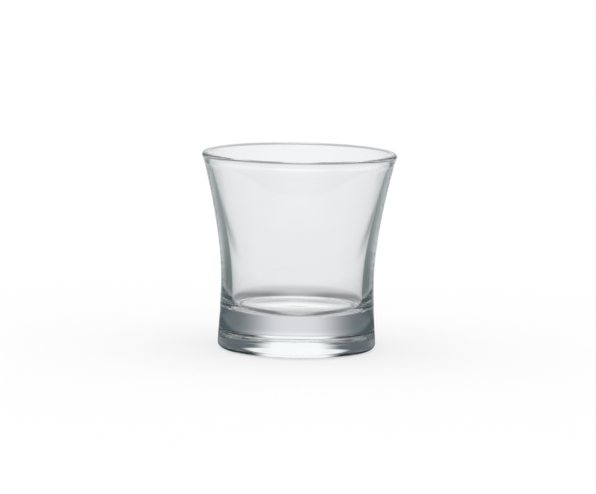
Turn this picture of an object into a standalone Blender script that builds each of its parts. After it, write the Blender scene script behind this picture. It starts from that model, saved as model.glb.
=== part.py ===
"""A clear glass sake cup: a flared bowl on a thick, solid glass base.

Units are metres and +Z is up. The cup stands on z = 0 with its axis on the Z axis, and both pieces are turned
round that axis: a half profile is drawn in the XZ plane and a Screw modifier sweeps it through a full turn.
"""

import math

import bpy

# Driving dimensions: the outside of the cup
CUP_HEIGHT = 0.0625  # table to the top of the lip
RIM_DIAMETER = 0.0620  # widest place of the lip
WAIST_DIAMETER = 0.0487  # narrowest place of the side
WAIST_HEIGHT = 0.0210  # table to the waist
FLARE_RISE = 0.0150  # from the waist up to where the lip's slope would meet the waist's upright line
FOOT_DIAMETER = 0.0503  # just above the rounded bottom edge
FOOT_DROP = 0.0050  # from the waist down to where the foot's slope would meet the waist's upright line

# Driving dimensions: the bowl
FLOOR_THICKNESS = 0.0025  # glass between the seam and the floor of the hollow
FLOOR_EDGE_WIDTH = 0.0020  # rounding between the floor and the wall, inside, measured along the floor
FLOOR_EDGE_RISE = 0.0040  # the same rounding, measured up the wall
WALL_THICKNESS = 0.0038  # wall at the floor of the hollow
UPPER_WALL_THICKNESS = 0.0015  # wall at the top, before it swells into the lip
LIP_THICKNESS = 0.0019  # the lip, and the width of its rounded top
LIP_BEAD = 0.00025  # how far the lip stands out from the side below it
LIP_BEAD_RISE = 0.0025  # height over which the side swells out to the lip

# Driving dimensions: the base
BASE_HEIGHT = 0.0100  # table to the seam where the bowl's floor is fused on
FOOT_EDGE_RADIUS = 0.0016  # rounding between the side and the ring that stands on the table
STANDING_RING_WIDTH = 0.0055  # flat ring that stands on the table
RECESS_DEPTH = 0.0004  # middle of the shallow hollow under the base, above the table

# How finely the round shapes are divided
TURN_STEPS = 64
WALL_STEPS = 10
BEAD_STEPS = 3
BASE_SIDE_STEPS = 4
LIP_STEPS = 4
EDGE_STEPS = 4
RECESS_STEPS = 6
SHARP_ANGLE = math.radians(35)
AXIS_MERGE = 0.00001

# Places that follow from the sizes
WAIST_RADIUS = WAIST_DIAMETER / 2
FOOT_RADIUS = FOOT_DIAMETER / 2
LIP_RADIUS = LIP_THICKNESS / 2
LIP_CENTRE_RADIUS = RIM_DIAMETER / 2 - LIP_RADIUS
LIP_CENTRE_HEIGHT = CUP_HEIGHT - LIP_RADIUS
FLARE_KNEE = WAIST_HEIGHT + FLARE_RISE
FOOT_KNEE = WAIST_HEIGHT - FOOT_DROP
FLARE_ANGLE = math.atan2(RIM_DIAMETER / 2 - WAIST_RADIUS, CUP_HEIGHT - FLARE_KNEE)
SIDE_TOP_RADIUS = LIP_CENTRE_RADIUS + LIP_RADIUS * math.cos(FLARE_ANGLE)
SIDE_TOP_HEIGHT = LIP_CENTRE_HEIGHT - LIP_RADIUS * math.sin(FLARE_ANGLE)
BEAD_START_HEIGHT = SIDE_TOP_HEIGHT - LIP_BEAD_RISE
HOLLOW_TOP_HEIGHT = LIP_CENTRE_HEIGHT + LIP_RADIUS * math.sin(FLARE_ANGLE)
FLOOR_HEIGHT = BASE_HEIGHT + FLOOR_THICKNESS
STANDING_RADIUS = FOOT_RADIUS - FOOT_EDGE_RADIUS
RECESS_RADIUS = STANDING_RADIUS - STANDING_RING_WIDTH


def share_of_bow(height, waist, knee, end):
    """How much of a bowed side is passed at a height: 0 at the upright waist, 1 at the side's end.

    The side is a quadratic curve from the waist to its end, pulled towards the knee.
    """
    bend = waist - 2 * knee + end
    lead = 2 * (knee - waist)
    root = math.sqrt(lead**2 + 4 * bend * (height - waist))
    return 2 * (height - waist) / (lead + math.copysign(root, lead))


def bead_swell(height):
    """0 below the lip's bead, 1 where the bead is full, and a smooth climb between."""
    share = min(max((height - BEAD_START_HEIGHT) / LIP_BEAD_RISE, 0), 1)
    return share**2 * (3 - 2 * share)


def outer_radius(height):
    """Outside radius of the cup at a height: a flare above the waist and a slight spread below it."""
    if height >= WAIST_HEIGHT:
        share = share_of_bow(height, WAIST_HEIGHT, FLARE_KNEE, SIDE_TOP_HEIGHT)
        spread = SIDE_TOP_RADIUS - LIP_BEAD - WAIST_RADIUS
        return WAIST_RADIUS + share**2 * spread + LIP_BEAD * bead_swell(height)
    share = share_of_bow(height, WAIST_HEIGHT, FOOT_KNEE, FOOT_EDGE_RADIUS)
    return WAIST_RADIUS + share**2 * (FOOT_RADIUS - WAIST_RADIUS)


def inner_radius(height):
    """Radius of the hollow at a height: the outside less a wall that thins upwards and swells into the lip."""
    lip_wall = LIP_THICKNESS / math.cos(FLARE_ANGLE)
    climbed = (height - FLOOR_HEIGHT) / (HOLLOW_TOP_HEIGHT - FLOOR_HEIGHT)
    plain_wall = WALL_THICKNESS + (UPPER_WALL_THICKNESS - WALL_THICKNESS) * climbed
    wall = plain_wall + (lip_wall - UPPER_WALL_THICKNESS) * bead_swell(height)
    return outer_radius(height) - wall


def steps_between(start, end, steps):
    """Evenly spaced values from start to end, with both ends."""
    return [start + (end - start) * step / steps for step in range(steps + 1)]


def arc(centre, width, rise, start_angle, end_angle, steps):
    """Profile points on an arc, with its angles measured from straight outwards towards straight up."""
    centre_radius, centre_height = centre
    return [
        (centre_radius + width * math.cos(angle), centre_height + rise * math.sin(angle))
        for angle in steps_between(start_angle, end_angle, steps)
    ]


def lip_arc(start_angle, end_angle):
    """Profile points on the lip's rounded top."""
    centre = (LIP_CENTRE_RADIUS, LIP_CENTRE_HEIGHT)
    return arc(centre, LIP_RADIUS, LIP_RADIUS, start_angle, end_angle, LIP_STEPS)


def bowl_profile():
    """Half section of the bowl, from the middle of its floor over the lip and down to the seam."""
    edge_top = FLOOR_HEIGHT + FLOOR_EDGE_RISE
    edge_centre = (inner_radius(edge_top) - FLOOR_EDGE_WIDTH, edge_top)
    floor_edge = arc(edge_centre, FLOOR_EDGE_WIDTH, FLOOR_EDGE_RISE, -math.pi / 2, 0, EDGE_STEPS)
    inside_heights = steps_between(edge_top, BEAD_START_HEIGHT, WALL_STEPS)[1:]
    inside_heights += steps_between(BEAD_START_HEIGHT, HOLLOW_TOP_HEIGHT, BEAD_STEPS)[1:-1]
    inside = [(inner_radius(height), height) for height in inside_heights]
    lip_inside = lip_arc(math.pi - FLARE_ANGLE, math.pi / 2)
    lip_outside = lip_arc(math.pi / 2, 0)[1:]
    outside_heights = steps_between(SIDE_TOP_HEIGHT, BEAD_START_HEIGHT, BEAD_STEPS)
    outside_heights += steps_between(BEAD_START_HEIGHT, BASE_HEIGHT, WALL_STEPS)[1:]
    outside = [(outer_radius(height), height) for height in outside_heights]
    return [(0, FLOOR_HEIGHT), *floor_edge, *inside, *lip_inside, *lip_outside, *outside, (0, BASE_HEIGHT)]


def base_profile():
    """Half section of the base, from the middle of the seam down its side and in under the foot."""
    side_heights = steps_between(BASE_HEIGHT, FOOT_EDGE_RADIUS, BASE_SIDE_STEPS)
    side = [(outer_radius(height), height) for height in side_heights]
    foot_centre = (STANDING_RADIUS, FOOT_EDGE_RADIUS)
    foot_edge = arc(foot_centre, FOOT_EDGE_RADIUS, FOOT_EDGE_RADIUS, 0, -math.pi / 2, EDGE_STEPS)[1:]
    recess = [
        (radius, RECESS_DEPTH * (1 - (radius / RECESS_RADIUS) ** 2) ** 2)
        for radius in steps_between(RECESS_RADIUS, 0, RECESS_STEPS)
    ]
    return [(0, BASE_HEIGHT), *side, *foot_edge, *recess]


def clear_glass(name, colour):
    """A polished, colourless glass with the faint green-grey that its thick places show."""
    material = bpy.data.materials.new(name)
    material.use_nodes = True
    shader = material.node_tree.nodes["Principled BSDF"]
    shader.inputs["Base Color"].default_value = (*colour, 1)
    shader.inputs["Roughness"].default_value = 0.02
    shader.inputs["Metallic"].default_value = 0
    shader.inputs["IOR"].default_value = 1.52
    shader.inputs["Transmission Weight"].default_value = 1
    return material


def turned_piece(name, profile, material, parent, collection):
    """A solid of revolution about +Z, shaded smooth except at its sharp edges."""
    outline = bpy.data.meshes.new(name)
    points = [(radius, 0, height) for radius, height in profile]
    outline.from_pydata(points, [(i, i + 1) for i in range(len(points) - 1)], [])
    piece = bpy.data.objects.new(name, outline)
    collection.objects.link(piece)

    turn = piece.modifiers.new("full_turn", "SCREW")
    turn.axis = "Z"
    turn.angle = math.tau
    turn.steps = TURN_STEPS
    turn.render_steps = TURN_STEPS
    turn.use_merge_vertices = True
    turn.merge_threshold = AXIS_MERGE

    solid = bpy.data.meshes.new_from_object(piece.evaluated_get(bpy.context.evaluated_depsgraph_get()))
    solid.name = name
    piece.modifiers.clear()
    piece.data = solid
    bpy.data.meshes.remove(outline)
    solid.shade_smooth()
    solid.set_sharp_from_angle(angle=SHARP_ANGLE)
    solid.materials.append(material)
    piece.parent = parent
    return piece


def main():
    for old in list(bpy.data.objects):
        bpy.data.objects.remove(old)
    collection = bpy.data.collections.new("glass_sake_cup")
    bpy.context.scene.collection.children.link(collection)
    cup = bpy.data.objects.new("cup_origin", None)
    cup.empty_display_size = RIM_DIAMETER / 2
    collection.objects.link(cup)

    bowl_glass = clear_glass("bowl_glass", (0.93, 0.95, 0.94))
    base_glass = clear_glass("base_glass", (0.88, 0.91, 0.91))
    turned_piece("bowl", bowl_profile(), bowl_glass, cup, collection)
    turned_piece("base", base_profile(), base_glass, cup, collection)


main()
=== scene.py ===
# %% [markdown]
# # A clear glass sake cup
#
# The real cup is one continuous body of clear glass: a flared, concave bowl on a thick, solid base. Glass has no
# colour of its own to paint, so nearly all of its look comes from three things: an accurate outline, the way the
# material bends light, and what stands around the cup for that light to come from. This lesson takes them in turn.
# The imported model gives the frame, and every size below starts from it.

# %% Load the frame
import math

import bmesh
import bpy
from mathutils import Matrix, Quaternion, Vector


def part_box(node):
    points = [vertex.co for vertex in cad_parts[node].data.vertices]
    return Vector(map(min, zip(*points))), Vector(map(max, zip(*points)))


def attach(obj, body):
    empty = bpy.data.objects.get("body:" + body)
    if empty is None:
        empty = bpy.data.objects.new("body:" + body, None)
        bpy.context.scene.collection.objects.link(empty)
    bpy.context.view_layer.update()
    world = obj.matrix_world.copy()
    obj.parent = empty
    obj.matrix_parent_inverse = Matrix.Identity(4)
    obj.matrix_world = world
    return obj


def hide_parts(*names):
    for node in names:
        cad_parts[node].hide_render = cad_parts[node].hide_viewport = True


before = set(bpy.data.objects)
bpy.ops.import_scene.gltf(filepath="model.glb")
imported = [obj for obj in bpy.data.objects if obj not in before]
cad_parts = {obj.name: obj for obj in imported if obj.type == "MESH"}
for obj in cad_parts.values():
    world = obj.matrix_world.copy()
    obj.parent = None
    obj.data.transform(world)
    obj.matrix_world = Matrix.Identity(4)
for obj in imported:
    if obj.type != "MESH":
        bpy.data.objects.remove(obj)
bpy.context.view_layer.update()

# %% [markdown]
# ## The camera
#
# The cup is seen from a little above and from far away with a long lens: its rim and its foot show as flat ellipses,
# and the foot's is only slightly fuller than the rim's. Those two ellipses settle the distance and the height of
# the eye. The picture also leans by about a degree, which a small roll about the line of sight repeats.

# %% Set up the camera
EYE_DISTANCE = 1.109
EYE_HEIGHT = 0.1806
AIM_HEIGHT = 0.0321
SENSOR_WIDTH = 36
LENS = 212.2
LEAN = math.radians(1.0)

scene = bpy.context.scene
scene.view_settings.view_transform = "Standard"
eye = bpy.data.objects.new("eye", bpy.data.cameras.new("eye"))
scene.collection.objects.link(eye)
scene.camera = eye
eye.data.sensor_width = SENSOR_WIDTH
eye.data.lens = LENS
eye.location = (0, -EYE_DISTANCE, EYE_HEIGHT)
sight = Vector((0, 0, AIM_HEIGHT)) - eye.location
eye.rotation_mode = "QUATERNION"
eye.rotation_quaternion = sight.to_track_quat("-Z", "Y") @ Quaternion((0, 0, 1), LEAN)
print("camera looks down by", round(math.degrees(math.asin(-sight.normalized().z)), 2), "degrees")

# %% [markdown]
# ## The outline of the glass
#
# A turned vessel is fully described by half of its section. The outside is two gentle bows that meet upright at the
# waist: one flares up to the lip and one spreads down to the foot. The inside follows the outside at a wall
# thickness that thins towards the lip. Rounded edges matter most on glass, because each of them is a small lens
# that draws a dark or a bright line, so they are true arcs with many points.

# %% Sizes of the outline
rim_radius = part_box("bowl")[1].x
cup_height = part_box("bowl")[1].z
seam_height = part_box("base")[1].z
foot_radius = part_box("base")[1].x

WAIST_RADIUS = 0.02435
WAIST_HEIGHT = 0.0210
FLARE_RISE = 0.0150
FOOT_DROP = 0.0050
FLOOR_THICKNESS = 0.0025
LIP_THICKNESS = 0.0019
FOOT_EDGE_RADIUS = 0.0016
STANDING_RING_WIDTH = 0.0055

lip_radius = LIP_THICKNESS / 2
lip_centre = (rim_radius - lip_radius, cup_height - lip_radius)
flare_knee = WAIST_HEIGHT + FLARE_RISE
foot_knee = WAIST_HEIGHT - FOOT_DROP
flare_angle = math.atan2(rim_radius - WAIST_RADIUS, cup_height - flare_knee)
side_top_radius = lip_centre[0] + lip_radius * math.cos(flare_angle)
side_top_height = lip_centre[1] - lip_radius * math.sin(flare_angle)
hollow_top_height = lip_centre[1] + lip_radius * math.sin(flare_angle)
floor_height = seam_height + FLOOR_THICKNESS
standing_radius = foot_radius - FOOT_EDGE_RADIUS
recess_radius = standing_radius - STANDING_RING_WIDTH
print("flare at the lip:", round(math.degrees(flare_angle), 1), "degrees")

# %% Curves of the outside
LIP_BEAD = 0.00025
LIP_BEAD_RISE = 0.0025


def share_of_bow(height, waist, knee, end):
    """How much of a bowed side is passed at a height: 0 at the upright waist, 1 at the side's end."""
    bend = waist - 2 * knee + end
    lead = 2 * (knee - waist)
    root = math.sqrt(lead**2 + 4 * bend * (height - waist))
    return 2 * (height - waist) / (lead + math.copysign(root, lead))


def bead_swell(height):
    """0 below the lip's bead, 1 where the bead is full, and a smooth climb between."""
    share = (height - side_top_height) / LIP_BEAD_RISE + 1
    share = min(max(share, 0), 1)
    return share**2 * (3 - 2 * share)


def outer_radius(height):
    """Outside radius of the cup at a height."""
    if height >= WAIST_HEIGHT:
        share = share_of_bow(height, WAIST_HEIGHT, flare_knee, side_top_height)
        spread = side_top_radius - LIP_BEAD - WAIST_RADIUS
        return WAIST_RADIUS + share**2 * spread + LIP_BEAD * bead_swell(height)
    share = share_of_bow(height, WAIST_HEIGHT, foot_knee, FOOT_EDGE_RADIUS)
    return WAIST_RADIUS + share**2 * (foot_radius - WAIST_RADIUS)


print("radius at the seam:", round(outer_radius(seam_height), 5), "m")

# %% Curves of the inside
WALL_THICKNESS = 0.0038
UPPER_WALL_THICKNESS = 0.0015


def wall_thickness(height):
    """Level thickness of the wall at a height: it thins evenly upwards and swells into the lip."""
    climbed = (height - floor_height) / (hollow_top_height - floor_height)
    plain = WALL_THICKNESS + (UPPER_WALL_THICKNESS - WALL_THICKNESS) * climbed
    lip_wall = LIP_THICKNESS / math.cos(flare_angle)
    return plain + (lip_wall - UPPER_WALL_THICKNESS) * bead_swell(height)


def inner_radius(height):
    """Radius of the hollow at a height."""
    return outer_radius(height) - wall_thickness(height)


print("wall at the waist:", round(wall_thickness(WAIST_HEIGHT), 5), "m")

# %% The half section
FLOOR_EDGE_WIDTH = 0.0020
FLOOR_EDGE_RISE = 0.0040
RECESS_DEPTH = 0.0004
FLOOR_STEPS = 24
INSIDE_STEPS = 60
OUTSIDE_STEPS = 120
EDGE_STEPS = 14
RING_STEPS = 8


def steps_between(start, end, steps):
    """Evenly spaced values from start to end, with both ends."""
    return [start + (end - start) * step / steps for step in range(steps + 1)]


def arc(centre, width, rise, start_angle, end_angle):
    """Points on an arc, with its angles measured from straight outwards towards straight up."""
    angles = steps_between(start_angle, end_angle, EDGE_STEPS)
    return [(centre[0] + width * math.cos(a), centre[1] + rise * math.sin(a)) for a in angles]


def half_section():
    """The glass from the middle of the hollow's floor, over the lip, down the side and in under the foot."""
    edge_top = floor_height + FLOOR_EDGE_RISE
    edge_centre = (inner_radius(edge_top) - FLOOR_EDGE_WIDTH, edge_top)
    hollow_floor = [(radius, floor_height) for radius in steps_between(0, edge_centre[0], FLOOR_STEPS)]
    floor_edge = arc(edge_centre, FLOOR_EDGE_WIDTH, FLOOR_EDGE_RISE, -math.pi / 2, 0)
    inside = [(inner_radius(h), h) for h in steps_between(edge_top, hollow_top_height, INSIDE_STEPS)]
    lip_inside = arc(lip_centre, lip_radius, lip_radius, math.pi - flare_angle, math.pi / 2)
    lip_outside = arc(lip_centre, lip_radius, lip_radius, math.pi / 2, -flare_angle)
    outside = [(outer_radius(h), h) for h in steps_between(side_top_height, FOOT_EDGE_RADIUS, OUTSIDE_STEPS)]
    foot_centre = (standing_radius, FOOT_EDGE_RADIUS)
    foot_edge = arc(foot_centre, FOOT_EDGE_RADIUS, FOOT_EDGE_RADIUS, 0, -math.pi / 2)
    ring = [(radius, 0) for radius in steps_between(standing_radius, recess_radius, RING_STEPS)]
    recess = [
        (radius, RECESS_DEPTH * (1 - (radius / recess_radius) ** 2) ** 2)
        for radius in steps_between(recess_radius, 0, FLOOR_STEPS)
    ]
    parts = [hollow_floor, floor_edge[1:], inside[1:-1], lip_inside, lip_outside[1:], outside[1:]]
    return sum(parts + [foot_edge[1:], ring[1:], recess[1:]], [])


section = half_section()
print("half section:", len(section), "points")

# %% [markdown]
# ## Turning the section
#
# The section is spun about the axis in one go. The bowl and the base become one closed skin with no wall between
# them, because light inside real glass meets no surface where the hollow part ends and the solid part begins.

# %% Spin the glass
TURN_STEPS = 192
MERGE_DISTANCE = 1e-7


def turned_glass(name, points):
    """A closed skin of revolution about +Z."""
    skin = bmesh.new()
    corners = [skin.verts.new((radius, 0, height)) for radius, height in points]
    edges = [skin.edges.new(pair) for pair in zip(corners, corners[1:])]
    bmesh.ops.spin(
        skin,
        geom=corners + edges,
        axis=(0, 0, 1),
        cent=(0, 0, 0),
        angle=math.tau,
        steps=TURN_STEPS,
        use_merge=True,
    )
    bmesh.ops.remove_doubles(skin, verts=skin.verts, dist=MERGE_DISTANCE)
    bmesh.ops.recalc_face_normals(skin, faces=skin.faces)
    mesh = bpy.data.meshes.new(name)
    skin.to_mesh(mesh)
    skin.free()
    mesh.shade_smooth()
    piece = bpy.data.objects.new(name, mesh)
    scene.collection.objects.link(piece)
    return piece


cup = turned_glass("cup_glass", section)
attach(cup, "root")
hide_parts("bowl", "base")
print("cup_glass:", len(cup.data.polygons), "faces")

# %% [markdown]
# ## Writing shaders as sums
#
# A finish that changes over a surface is arithmetic on places and angles. Wrapping a socket in a small class lets
# that arithmetic be written as Python expressions, and each operator adds the Math node it stands for. Colours go
# through a Mix node instead, because a Math node would turn them grey.

# %% A socket that can be calculated with
MIX_FIRST, MIX_SECOND, MIX_RESULT = 6, 7, 2  # a Mix node's sockets for colours, by number


class Wire:
    """A socket of a node tree. Operators add Math nodes, and node() adds any other node."""

    def __init__(self, tree, socket=None):
        self.tree = tree
        self.socket = socket

    def node(self, kind, settings=None, sockets=None, outlet=0):
        """Adds a node, sets it up, fills or links its sockets, and gives one of its outlets."""
        made = self.tree.nodes.new(kind)
        for name, value in (settings or {}).items():
            setattr(made, name, value)
        for name, value in (sockets or {}).items():
            if isinstance(value, Wire):
                self.tree.links.new(value.socket, made.inputs[name])
            else:
                made.inputs[name].default_value = value
        return Wire(self.tree, made.outputs[outlet] if made.outputs else None)

    def math(self, operation, first, second=0.0):
        return self.node("ShaderNodeMath", {"operation": operation}, {0: first, 1: second})

    def mix(self, share, first, second):
        """A colour that goes from the first to the second as the share goes from 0 to 1."""
        sockets = {"Factor": share, MIX_FIRST: first, MIX_SECOND: second}
        return self.node("ShaderNodeMix", {"data_type": "RGBA"}, sockets, MIX_RESULT)

    def larger(self, first, second):
        return self.math("MAXIMUM", first, second)

    def __add__(self, other):
        return self.math("ADD", self, other)

    __radd__ = __add__

    def __mul__(self, other):
        return self.math("MULTIPLY", self, other)

    __rmul__ = __mul__

    def __sub__(self, other):
        return self.math("SUBTRACT", self, other)

    def __rsub__(self, other):
        return self.math("SUBTRACT", other, self)

    def __truediv__(self, other):
        return self.math("DIVIDE", self, other)

    def __rtruediv__(self, other):
        return self.math("DIVIDE", other, self)

    def __pow__(self, other):
        return self.math("POWER", self, other)

    def ramp(self, low, high):
        """0 below low, 1 above high, and a smooth climb between."""
        settings = {"interpolation_type": "SMOOTHSTEP"}
        return self.node("ShaderNodeMapRange", settings, {"Value": self, "From Min": low, "From Max": high})


def new_material(name):
    """An empty material, with a wire to start its nodes from."""
    material = bpy.data.materials.new(name)
    material.use_nodes = True
    material.node_tree.nodes.clear()
    return material, Wire(material.node_tree)


# %% [markdown]
# ## The glass
#
# The real cup is soda-lime glass, shaped in a mould and polished by fire. It bends light with an index of 1.52, and
# it lets a little less red through than green and blue. That shows only where light crosses a lot of glass, so the
# tint is a uniform absorption inside the body and not a colour painted on its skin. A skin from a mould is never
# quite even: one slow noise tilts it by a very little, and makes its polish a trace softer here than there.

# %% Make the clear glass
GLASS_INDEX = 1.52
WHITE = (1, 1, 1, 1)
TINT = (0.80, 0.93, 0.92, 1)
TINT_DENSITY = 3.0
RIPPLE = {"Scale": 60.0, "Detail": 1.0, "Roughness": 0.4}
RIPPLE_TILT = {"Strength": 0.02, "Distance": 0.001}
POLISH = 0.01
POLISH_CHANGE = 0.03


def clear_glass():
    material, start = new_material("clear_glass")
    place = start.node("ShaderNodeTexCoord", outlet="Object")
    ripple = start.node("ShaderNodeTexNoise", {}, {"Vector": place, **RIPPLE}, "Fac")
    bump = start.node("ShaderNodeBump", {}, {"Height": ripple, **RIPPLE_TILT}, "Normal")
    finish = {
        "Base Color": WHITE,
        "Roughness": POLISH + POLISH_CHANGE * ripple,
        "IOR": GLASS_INDEX,
        "Transmission Weight": 1.0,
        "Normal": bump,
    }
    surface = start.node("ShaderNodeBsdfPrincipled", {}, finish)
    body = start.node("ShaderNodeVolumeAbsorption", {}, {"Color": TINT, "Density": TINT_DENSITY})
    start.node("ShaderNodeOutputMaterial", {}, {"Surface": surface, "Volume": body})
    return material


cup.data.materials.append(clear_glass())
print("glass index:", GLASS_INDEX)

# %% [markdown]
# ## What surrounds the glass
#
# A photographer draws clear glass with its surroundings: white cards give it light, dark cards give it edges, and none
# of them shows in the picture. Here the table and the room stand for the cards. The camera and the shadows see both as
# plain white, and only rays that met the glass find darker places on them. Cycles counts how often a ray was mirrored
# and how often it crossed a surface, so one place can look different to rays that went straight through and to rays
# that ran round inside the wall. Cards of real geometry would work too, but each would also darken rays it isn't for.

# %% What a ray has been through
COUNT_STEP = (0.4, 0.6)  # from one whole number to the next
FEW_MIRRORS = 2
MANY_MIRRORS = 16
MOST_MIRRORS = 28
ONE_WALL = 2  # a ray crosses a surface when it enters a wall and when it leaves


def more_than(limit, count):
    """1 where a count is above the limit, and 0 elsewhere."""
    return (count - limit).ramp(*COUNT_STEP)


class LightPath:
    """What a ray has been through on its way: 0 or 1 each."""

    def __init__(self, start):
        bounces = start.node("ShaderNodeLightPath", outlet="Glossy Depth")
        crossings = start.node("ShaderNodeLightPath", outlet="Transmission Depth")
        self.camera = start.node("ShaderNodeLightPath", outlet="Is Camera Ray")
        self.mirrored = more_than(0, bounces)
        self.piped = more_than(FEW_MIRRORS, bounces)
        self.trapped = more_than(MANY_MIRRORS, bounces)
        self.whirled = more_than(MOST_MIRRORS, bounces)
        self.deep = more_than(ONE_WALL, crossings)
        self.outside = 1 - more_than(0, crossings)
        glossy = start.node("ShaderNodeLightPath", outlet="Is Glossy Ray")
        through = start.node("ShaderNodeLightPath", outlet="Is Transmission Ray")
        self.in_glass = start.larger(glossy, through)


# %% Where a ray ends
DEGREES = 180 / math.pi


def turn_of(start, x, y):
    """Degrees away from the line of sight: 0 in front of and behind the cup, 90 at its sides."""
    return start.math("PINGPONG", start.math("ARCTAN2", x, y), math.pi / 2) * DEGREES


class TablePlace:
    """A place on the table: its distance from the cup's axis, how far aside and behind it is, and its turn."""

    def __init__(self, start):
        place = start.node("ShaderNodeNewGeometry", outlet="Position")
        x = start.node("ShaderNodeSeparateXYZ", {}, {"Vector": place}, "X")
        self.y = start.node("ShaderNodeSeparateXYZ", {}, {"Vector": place}, "Y")
        self.reach = start.node("ShaderNodeVectorMath", {"operation": "LENGTH"}, {0: place}, "Value")
        self.aside = start.math("ABSOLUTE", x)
        self.turn = turn_of(start, x, self.y)


class RoomPlace:
    """A direction in the room: its height and its turn in degrees, and y, which is 1 straight behind the cup."""

    def __init__(self, start):
        direction = start.node("ShaderNodeTexCoord", outlet="Generated")
        x = start.node("ShaderNodeSeparateXYZ", {}, {"Vector": direction}, "X")
        self.y = start.node("ShaderNodeSeparateXYZ", {}, {"Vector": direction}, "Y")
        z = start.node("ShaderNodeSeparateXYZ", {}, {"Vector": direction}, "Z")
        self.rise = start.math("ARCSINE", z) * DEGREES
        self.turn = turn_of(start, x, self.y)


# %% [markdown]
# ## The table through the walls
#
# Seen through the bowl, the table is a little greyer towards the foot: a painted shade that stands for the cup's own
# shadow. A painted shaded flank at each side gives the inner edge of the wall its soft line. Each pair of numbers
# below is a fade: where a colour starts to change and where the change is complete, in metres on the table or in
# degrees round the cup.

# %% The open table behind the bowl
# NEAR_GREY is painted shade: the table close to the foot, greyer as if in the cup's shadow
NEAR_GREY = (0.52, 0.525, 0.54, 1)
MID_WHITE = (0.84, 0.845, 0.855, 1)
WALL_WHITE = (0.875, 0.88, 0.89, 1)
# SIDE_SHADE is painted shade for the table's flanks beside the cup
SIDE_SHADE = (0.168, 0.207, 0.203, 1)
NEAR_FADE = (0.06, 0.12)
FAR_FADE = (0.2, 0.5)
FLANK_START_TURN = (17, 31)
FLANK_END_TURN = (36, 42)
FLANK_BEHIND = (0.06, 0.08)
FLANK_START = (0.12, 0.15)
FLANK_END = (0.15, 0.19)


def table_behind_bowl(start, at):
    """Colour of the open table for rays that went straight through the walls."""
    # Painted shade: greyer near the foot, and a shaded band on each flank behind the cup
    near = start.mix(at.reach.ramp(*NEAR_FADE), NEAR_GREY, MID_WHITE)
    flank = at.turn.ramp(*FLANK_START_TURN) * (1 - at.turn.ramp(*FLANK_END_TURN)) * at.y.ramp(*FLANK_BEHIND)
    flank = flank * at.reach.ramp(*FLANK_START) * (1 - at.reach.ramp(*FLANK_END))
    near = start.mix(flank, near, SIDE_SHADE)
    return start.mix(at.reach.ramp(*FAR_FADE), near, WALL_WHITE)


# %% [markdown]
# ## The table under the base and at the lip
#
# The base touches the table in a ring. Through the hollow's floor that ring shows as painted shade on the table:
# a grey crescent, darker at its sides. Rays that only cross the rounded lip fall on the table far behind the cup, so
# the lip has a zone of its own.

# %% Under the base
# The CONTACT_ colours are painted shade where the foot meets the table
CONTACT_LIGHT = (0.55, 0.56, 0.58, 1)
CONTACT_GREY = (0.38, 0.39, 0.41, 1)
CONTACT_DARK = (0.08, 0.09, 0.10, 1)
FRONT_ASIDE = (0, 0.008)
BACK_ASIDE = (0.018, 0.021)
FRONT_TO_BACK = (-0.014, -0.009)


def table_under_base(start, at):
    """Colour of the table under the cup for rays that went straight through the floor of the hollow."""
    # Painted shade: the table under the foot's ring is grey, and dark towards the sides
    front = start.mix(at.aside.ramp(*FRONT_ASIDE), CONTACT_GREY, CONTACT_DARK)
    back = start.mix(at.aside.ramp(*BACK_ASIDE), CONTACT_LIGHT, CONTACT_DARK)
    return start.mix((at.y - at.aside).ramp(*FRONT_TO_BACK), front, back)


# %% At the lip
FAR_WHITE = (0.95, 0.955, 0.965, 1)
LIP_GREY = (0.53, 0.54, 0.55, 1)
DARKEST = (0.012, 0.016, 0.02, 1)
LIP_BEHIND = (0, 0.03)
LIP_ASIDE = (0.03, 0.06)
LIP_FAR = (0.2, 0.42)
GLEAM_ASIDE = (0.002, 0.004)
GLEAM_FAR = (0.11, 0.14)
LIP_NEAR = (0.085, 0.095)


def table_at_lip(start, at):
    """Colour of the table for rays that crossed one wall or the lip."""
    behind = at.y.ramp(*LIP_BEHIND) * (1 - at.aside.ramp(*LIP_ASIDE)) * (1 - at.reach.ramp(*LIP_FAR))
    lip = start.mix(behind, FAR_WHITE, LIP_GREY)
    # Painted highlight: a thin white strip on the table straight behind the cup and close to it
    gleam = (1 - at.aside.ramp(*GLEAM_ASIDE)) * (1 - at.reach.ramp(*GLEAM_FAR))
    lip = start.mix(gleam, lip, FAR_WHITE)
    # Painted shade: the table close round the cup is darkest for these rays
    return start.mix(at.reach.ramp(*LIP_NEAR), DARKEST, lip)


# %% All of the table through the glass
CONTACT_SHADE = (0.17, 0.18, 0.19, 1)
CONTACT_ASIDE = (0.002, 0.012)
RING_BOW = 0.05
RING_SHARE = 0.8
RING_FADE = (0.040, 0.066)
FOOT_FADE = (0.032, 0.037)


def table_through_glass(start, path, at):
    """Colour of the table for rays that went straight through the glass."""
    # Painted shade round the foot: grey behind the cup, darker aside of it, fading out away from the cup
    contact = start.mix(at.aside.ramp(*CONTACT_ASIDE), CONTACT_GREY, CONTACT_SHADE)
    away = start.larger(at.y - RING_BOW * at.aside, RING_SHARE * at.reach)
    around = start.mix(away.ramp(*RING_FADE), contact, table_behind_bowl(start, at))
    deep = start.mix(at.reach.ramp(*FOOT_FADE), table_under_base(start, at), around)
    return start.mix(path.deep, table_at_lip(start, at), deep)


# %% [markdown]
# ## The table in the mirror of the glass
#
# Rays that are mirrored in the wall meet the table's painted shaded flanks, which draw the grey borders of the bowl.
# Close to the cup the flanks are painted darker still, for the shoulder where the bowl meets the base. Rays that the
# outside of the glass mirrors without entering it find a painted dark shadow at the cup's sides, which gives the base
# its firm edge.

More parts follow.
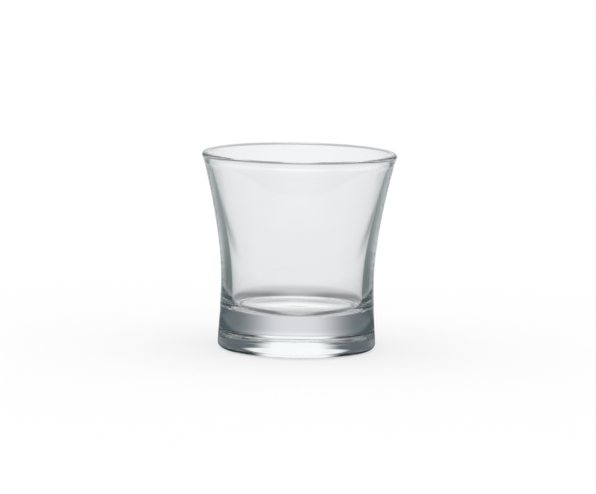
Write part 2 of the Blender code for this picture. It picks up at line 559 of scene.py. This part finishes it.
# %% Mirrored at the side and under the base
SIDE_LIGHT = (0.85, 0.86, 0.87, 1)
SIDE_GREY = (0.295, 0.335, 0.332, 1)
DARKER = (0.045, 0.055, 0.062, 1)
SHADE_START = (0.087, 0.092)
SHADE_END = (0.14, 0.18)
SIDE_TURN = (2, 45)
SIDE_END_TURN = (60, 76)
SHOULDER_BEHIND = (-0.012, -0.002)
SHOULDER_FADE = (0.083, 0.0865)
MIDDLE_FADE = (0.01, 0.015)
BACK_GLEAM_BEHIND = (0.012, 0.018)
BACK_GLEAM_ASIDE = (0.004, 0.010)
FRONT_EDGE = (-0.0205, -0.0185)


def mirrored_side(start, at):
    """Colour of the open table for rays that the wall mirrored."""
    # Painted shade: a shaded band on the flanks, dark far to the sides, and darker still close behind the cup
    shaded = at.reach.ramp(*SHADE_START) * (1 - at.reach.ramp(*SHADE_END))
    shade = start.mix(shaded, SIDE_GREY, SIDE_SHADE)
    side = start.mix(at.turn.ramp(*SIDE_TURN), SIDE_LIGHT, shade)
    side = start.mix(at.turn.ramp(*SIDE_END_TURN), side, DARKEST)
    shoulder = start.mix(at.y.ramp(*SHOULDER_BEHIND), SIDE_GREY, DARKER)
    return start.mix(at.reach.ramp(*SHOULDER_FADE), shoulder, side)


def mirrored_under(start, at):
    """Colour of the table under the cup for rays that the wall mirrored."""
    # Painted shade under the cup: grey away from its middle and at its front edge; painted highlight: a white strip
    # behind
    middle = start.mix(at.reach.ramp(*MIDDLE_FADE), WHITE, CONTACT_LIGHT)
    gleam = at.y.ramp(*BACK_GLEAM_BEHIND) * (1 - at.aside.ramp(*BACK_GLEAM_ASIDE))
    middle = start.mix(gleam, middle, WHITE)
    return start.mix(at.y.ramp(*FRONT_EDGE), CONTACT_GREY, middle)


# %% [markdown]
# ## Light that runs round in the glass
#
# In the thick places a ray can be mirrored many times before it leaves. What it finds then decides the small streaks
# low in the base and the marks at the shoulder: white under the middle of the cup and dark beside it. Rays that were
# mirrored very often come from the rounded lip, and they find a plain light table, or the lip would turn black.

# %% Mirrored many times
NEAR_WHITE = (0.66, 0.665, 0.68, 1)
PLAIN_SPREAD = 0.005
BEHIND_SPREAD = 0.008
SPREAD_BEHIND = (-0.012, -0.002)
STREAK_ASIDE = (0.004, 0.010)
DIM_REACH = (0.030, 0.036)
OPEN_FADE = (0.06, 0.09)
TRAPPED_FADE = (0.06, 0.1)


def table_for_piped(start, path, at):
    """Colour of the table for rays that were mirrored many times."""
    spread = PLAIN_SPREAD * (1 - path.deep) + BEHIND_SPREAD * at.y.ramp(*SPREAD_BEHIND)
    dim = start.mix(path.deep * at.reach.ramp(*DIM_REACH), DARKEST, SIDE_GREY)
    streak = start.mix((at.aside - spread).ramp(*STREAK_ASIDE), WHITE, dim)
    piped = start.mix(at.reach.ramp(*OPEN_FADE), streak, NEAR_WHITE)
    return start.mix(path.trapped * at.reach.ramp(*TRAPPED_FADE), piped, FAR_WHITE)


# %% All of the table in the mirror
DEEP_LIGHT = (0.72, 0.73, 0.74, 1)
UNDER_EDGE = (0.034, 0.038)
SHADOW_TURN = (22, 40)
OPEN_BEHIND = (0.03, 0.07)
SHADOW_FADE = (0.085, 0.105)


def table_in_mirror(start, path, at):
    """Colour of the table for rays that were mirrored by the glass."""
    once_deep = path.deep * (1 - path.piped)
    side = start.mix(once_deep, mirrored_side(start, at), DEEP_LIGHT)
    side = start.mix(at.reach.ramp(*UNDER_EDGE), mirrored_under(start, at), side)
    # Painted shadow on the table at the cup's sides, for rays that the outside of the glass mirrors
    shadow = start.mix(at.turn.ramp(*SHADOW_TURN), WHITE, DARKEST)
    open_side = start.mix(at.y.ramp(*OPEN_BEHIND), SIDE_LIGHT, side)
    outside = start.mix(at.reach.ramp(*SHADOW_FADE), shadow, open_side)
    side = start.mix(path.outside, side, outside)
    return start.mix(path.piped, side, table_for_piped(start, path, at))


# %% [markdown]
# ## The table itself
#
# The table is plain white, lit by the room, and it keeps the cup's soft shadow. Rays that cross only the base look down
# through a round window in it, as on a photographer's light table, so the base is pale in the middle and slate at its
# sides. The window is a Transparent shader that only those rays meet, and the room shows through it from below.

# %% The table's material
TABLE_WHITE = 0.45  # share of the table's white that the room has to light
WINDOW_FADE = (0.090, 0.100)
WINDOW_BACK = (0.033, 0.040)
WINDOW_BACK_LOSS = 0.16


def table_white():
    material, start = new_material("table_white")
    path = LightPath(start)
    at = TablePlace(start)
    painted = start.node("ShaderNodeBsdfDiffuse", {}, {"Color": (TABLE_WHITE, TABLE_WHITE, TABLE_WHITE, 1)})
    glow = start.node("ShaderNodeEmission", {}, {"Color": WHITE, "Strength": 1 - TABLE_WHITE})
    lit = start.node("ShaderNodeAddShader", {}, {0: painted, 1: glow})

    straight = table_through_glass(start, path, at)
    colour = start.mix(path.mirrored, straight, table_in_mirror(start, path, at))
    seen = start.node("ShaderNodeEmission", {}, {"Color": colour, "Strength": 1.0})
    window = start.node("ShaderNodeBsdfTransparent")
    share = (1 - at.reach.ramp(*WINDOW_FADE)) * (1 - path.deep) * (1 - path.mirrored)
    share = share * (1 - WINDOW_BACK_LOSS * at.y.ramp(*WINDOW_BACK))
    in_glass = start.node("ShaderNodeMixShader", {}, {0: share, 1: seen, 2: window})
    either = start.node("ShaderNodeMixShader", {}, {0: path.camera, 1: in_glass, 2: lit})
    start.node("ShaderNodeOutputMaterial", {}, {"Surface": either})
    return material


# %% Make the table
TABLE_SIZE = 40.0
TABLE_DROP = 0.0002  # a hair below the cup, so that the two surfaces never share a plane


def make_table():
    skin = bmesh.new()
    bmesh.ops.create_grid(skin, x_segments=1, y_segments=1, size=TABLE_SIZE / 2)
    mesh = bpy.data.meshes.new("table")
    skin.to_mesh(mesh)
    skin.free()
    table = bpy.data.objects.new("table", mesh)
    table.location.z = -TABLE_DROP
    scene.collection.objects.link(table)
    mesh.materials.append(table_white())
    return table


table = make_table()
print("table:", TABLE_SIZE, "m square,", len(table.active_material.node_tree.nodes), "nodes in its material")

# %% [markdown]
# ## The white room
#
# The room is the world shader: one even white for the camera, for the table and for all soft light. Rays from the glass
# find a tall white card straight behind and in front of the cup, darkness at both sides, and a dim ceiling. Those dark
# sides draw the lines at the rim, the shoulder and the bottom edge. The fades are in degrees of height and of turn.

# %% The room in the mirror of the glass
CARD_WHITE = (0.96, 0.965, 0.975, 1)
DARK = (0.12, 0.14, 0.155, 1)
FRONT_GREY = (0.35, 0.355, 0.365, 1)
CEILING = (0.20, 0.21, 0.22, 1)
CARD_TURN = (11, 25)
CARD_SPREAD = 11
SPREAD_RISE = (10.6, 12.2)
SPREAD_TOP = (13, 14.5)
FRONT_PLACE = -0.55
FRONT_FADE = (0, 0.2)
FRONT_RISE = (8, 11)
CEILING_RISE = (31, 36)
CEILING_LIFT = 5
CEILING_TURN = (8, 14)


def room_mirrored(start, at):
    """Colour of the room for rays that were mirrored once or twice."""
    spread = CARD_SPREAD * at.rise.ramp(*SPREAD_RISE) * (1 - at.rise.ramp(*SPREAD_TOP))
    card = start.mix((at.turn - spread).ramp(*CARD_TURN), CARD_WHITE, DARK)
    front = (FRONT_PLACE - at.y).ramp(*FRONT_FADE) * at.rise.ramp(*FRONT_RISE)
    walls = start.mix(front, card, FRONT_GREY)
    height = at.rise - CEILING_LIFT * (1 - at.turn.ramp(*CEILING_TURN))
    return start.mix(height.ramp(*CEILING_RISE), walls, CEILING)


# %% The room for rays that ran round or passed the hollow
STEEP_RISE = (55, 62)
BEHIND_RISE = (46, 56)
BEHIND_PLACE = (-0.1, 0.1)
EDGE_PLACE = (0.82, 0.86)
EDGE_RISE = (17, 19)
EDGE_TOP = (28, 31)
ZENITH_RISE = (75, 85)
PIPED_RISE = (24, 32)


def room_for_piped(start, path, at):
    """Colour of the room for rays that were mirrored many times."""
    steep = start.larger(at.rise.ramp(*STEEP_RISE), at.rise.ramp(*BEHIND_RISE) * at.y.ramp(*BEHIND_PLACE))
    often = start.mix(steep, DARKER, WHITE)
    return start.mix(path.whirled, often, NEAR_WHITE)


def room_past_hollow(start, path, at):
    """Colour of the room for rays that crossed the hollow and were mirrored."""
    edge = at.y.ramp(*EDGE_PLACE) * at.rise.ramp(*EDGE_RISE) * (1 - at.rise.ramp(*EDGE_TOP))
    inside = start.mix(start.larger(edge, at.rise.ramp(*ZENITH_RISE)), CARD_WHITE, CEILING)
    return start.mix(path.piped * (1 - at.rise.ramp(*PIPED_RISE)), inside, DARK)


# %% The room above the table
STRAIGHT_TURN = (14, 25)


def room_above(start, path, at):
    """Colour of the room for rays that met the glass."""
    straight = start.mix(at.turn.ramp(*STRAIGHT_TURN), CARD_WHITE, DARKEST)
    mirrored = start.mix(path.piped, room_mirrored(start, at), room_for_piped(start, path, at))
    mirrored = start.mix(path.deep, mirrored, room_past_hollow(start, path, at))
    return start.mix(path.mirrored, straight, mirrored)


# %% [markdown]
# ## Below the window
#
# Through the window in the table the solid base shows a pale glow straight behind, which falls away into slate towards
# the sides. The sides close to the horizon are darkest, and they draw the line above the foot's rounded edge.

# %% The room below the table
BELOW_WHITE = (0.85, 0.845, 0.875, 1)
BELOW_DARK = (0.018, 0.050, 0.066, 1)
GLOW_TURN = 22
GLOW_FALL = 3.5
ASIDE_TURN = (66, 80)
ASIDE_RISE = (-11, -9)
PIT_BOW = -0.0024
PIT_DEPTH = (12.2, 13.2)
FLAT_TURN = (20, 40)
FLAT_RISE = (-11, -8)


def room_below(start, at):
    """Colour that the solid base shows through the window in the table."""
    glow = 1 / (1 + (at.turn / GLOW_TURN) ** GLOW_FALL)
    aside = at.turn.ramp(*ASIDE_TURN) * at.rise.ramp(*ASIDE_RISE)
    pit = (PIT_BOW * at.turn * at.turn - at.rise).ramp(*PIT_DEPTH)
    clear = start.larger(glow, start.larger(aside, pit))
    flat = at.turn.ramp(*FLAT_TURN) * at.rise.ramp(*FLAT_RISE) * (1 - aside)
    return start.mix(flat, start.mix(clear, BELOW_DARK, BELOW_WHITE), DARKEST)


# %% [markdown]
# ## Putting the room together
#
# Light can be mirrored dozens of times inside the rounded lip before it leaves, so the limits on bounces are high, or
# the lip would turn black.

# %% Make the white room
HORIZON = (-0.2, 0.0)
MOST_BOUNCES = 96
MOST_REFLECTIONS = 64
MOST_CROSSINGS = 24


def white_room():
    room = bpy.data.worlds.new("white_room")
    room.use_nodes = True
    room.node_tree.nodes.clear()
    start = Wire(room.node_tree)
    path = LightPath(start)
    at = RoomPlace(start)
    pattern = start.mix(at.rise.ramp(*HORIZON), room_below(start, at), room_above(start, path, at))
    colour = start.mix(path.in_glass, WHITE, pattern)
    light = start.node("ShaderNodeBackground", {}, {"Color": colour, "Strength": 1.0})
    start.node("ShaderNodeOutputWorld", {}, {"Surface": light})
    return room


scene.world = white_room()
scene.cycles.max_bounces = MOST_BOUNCES
scene.cycles.glossy_bounces = MOST_REFLECTIONS
scene.cycles.transmission_bounces = MOST_CROSSINGS
print("room:", scene.world.name, "with", len(scene.world.node_tree.nodes), "nodes")
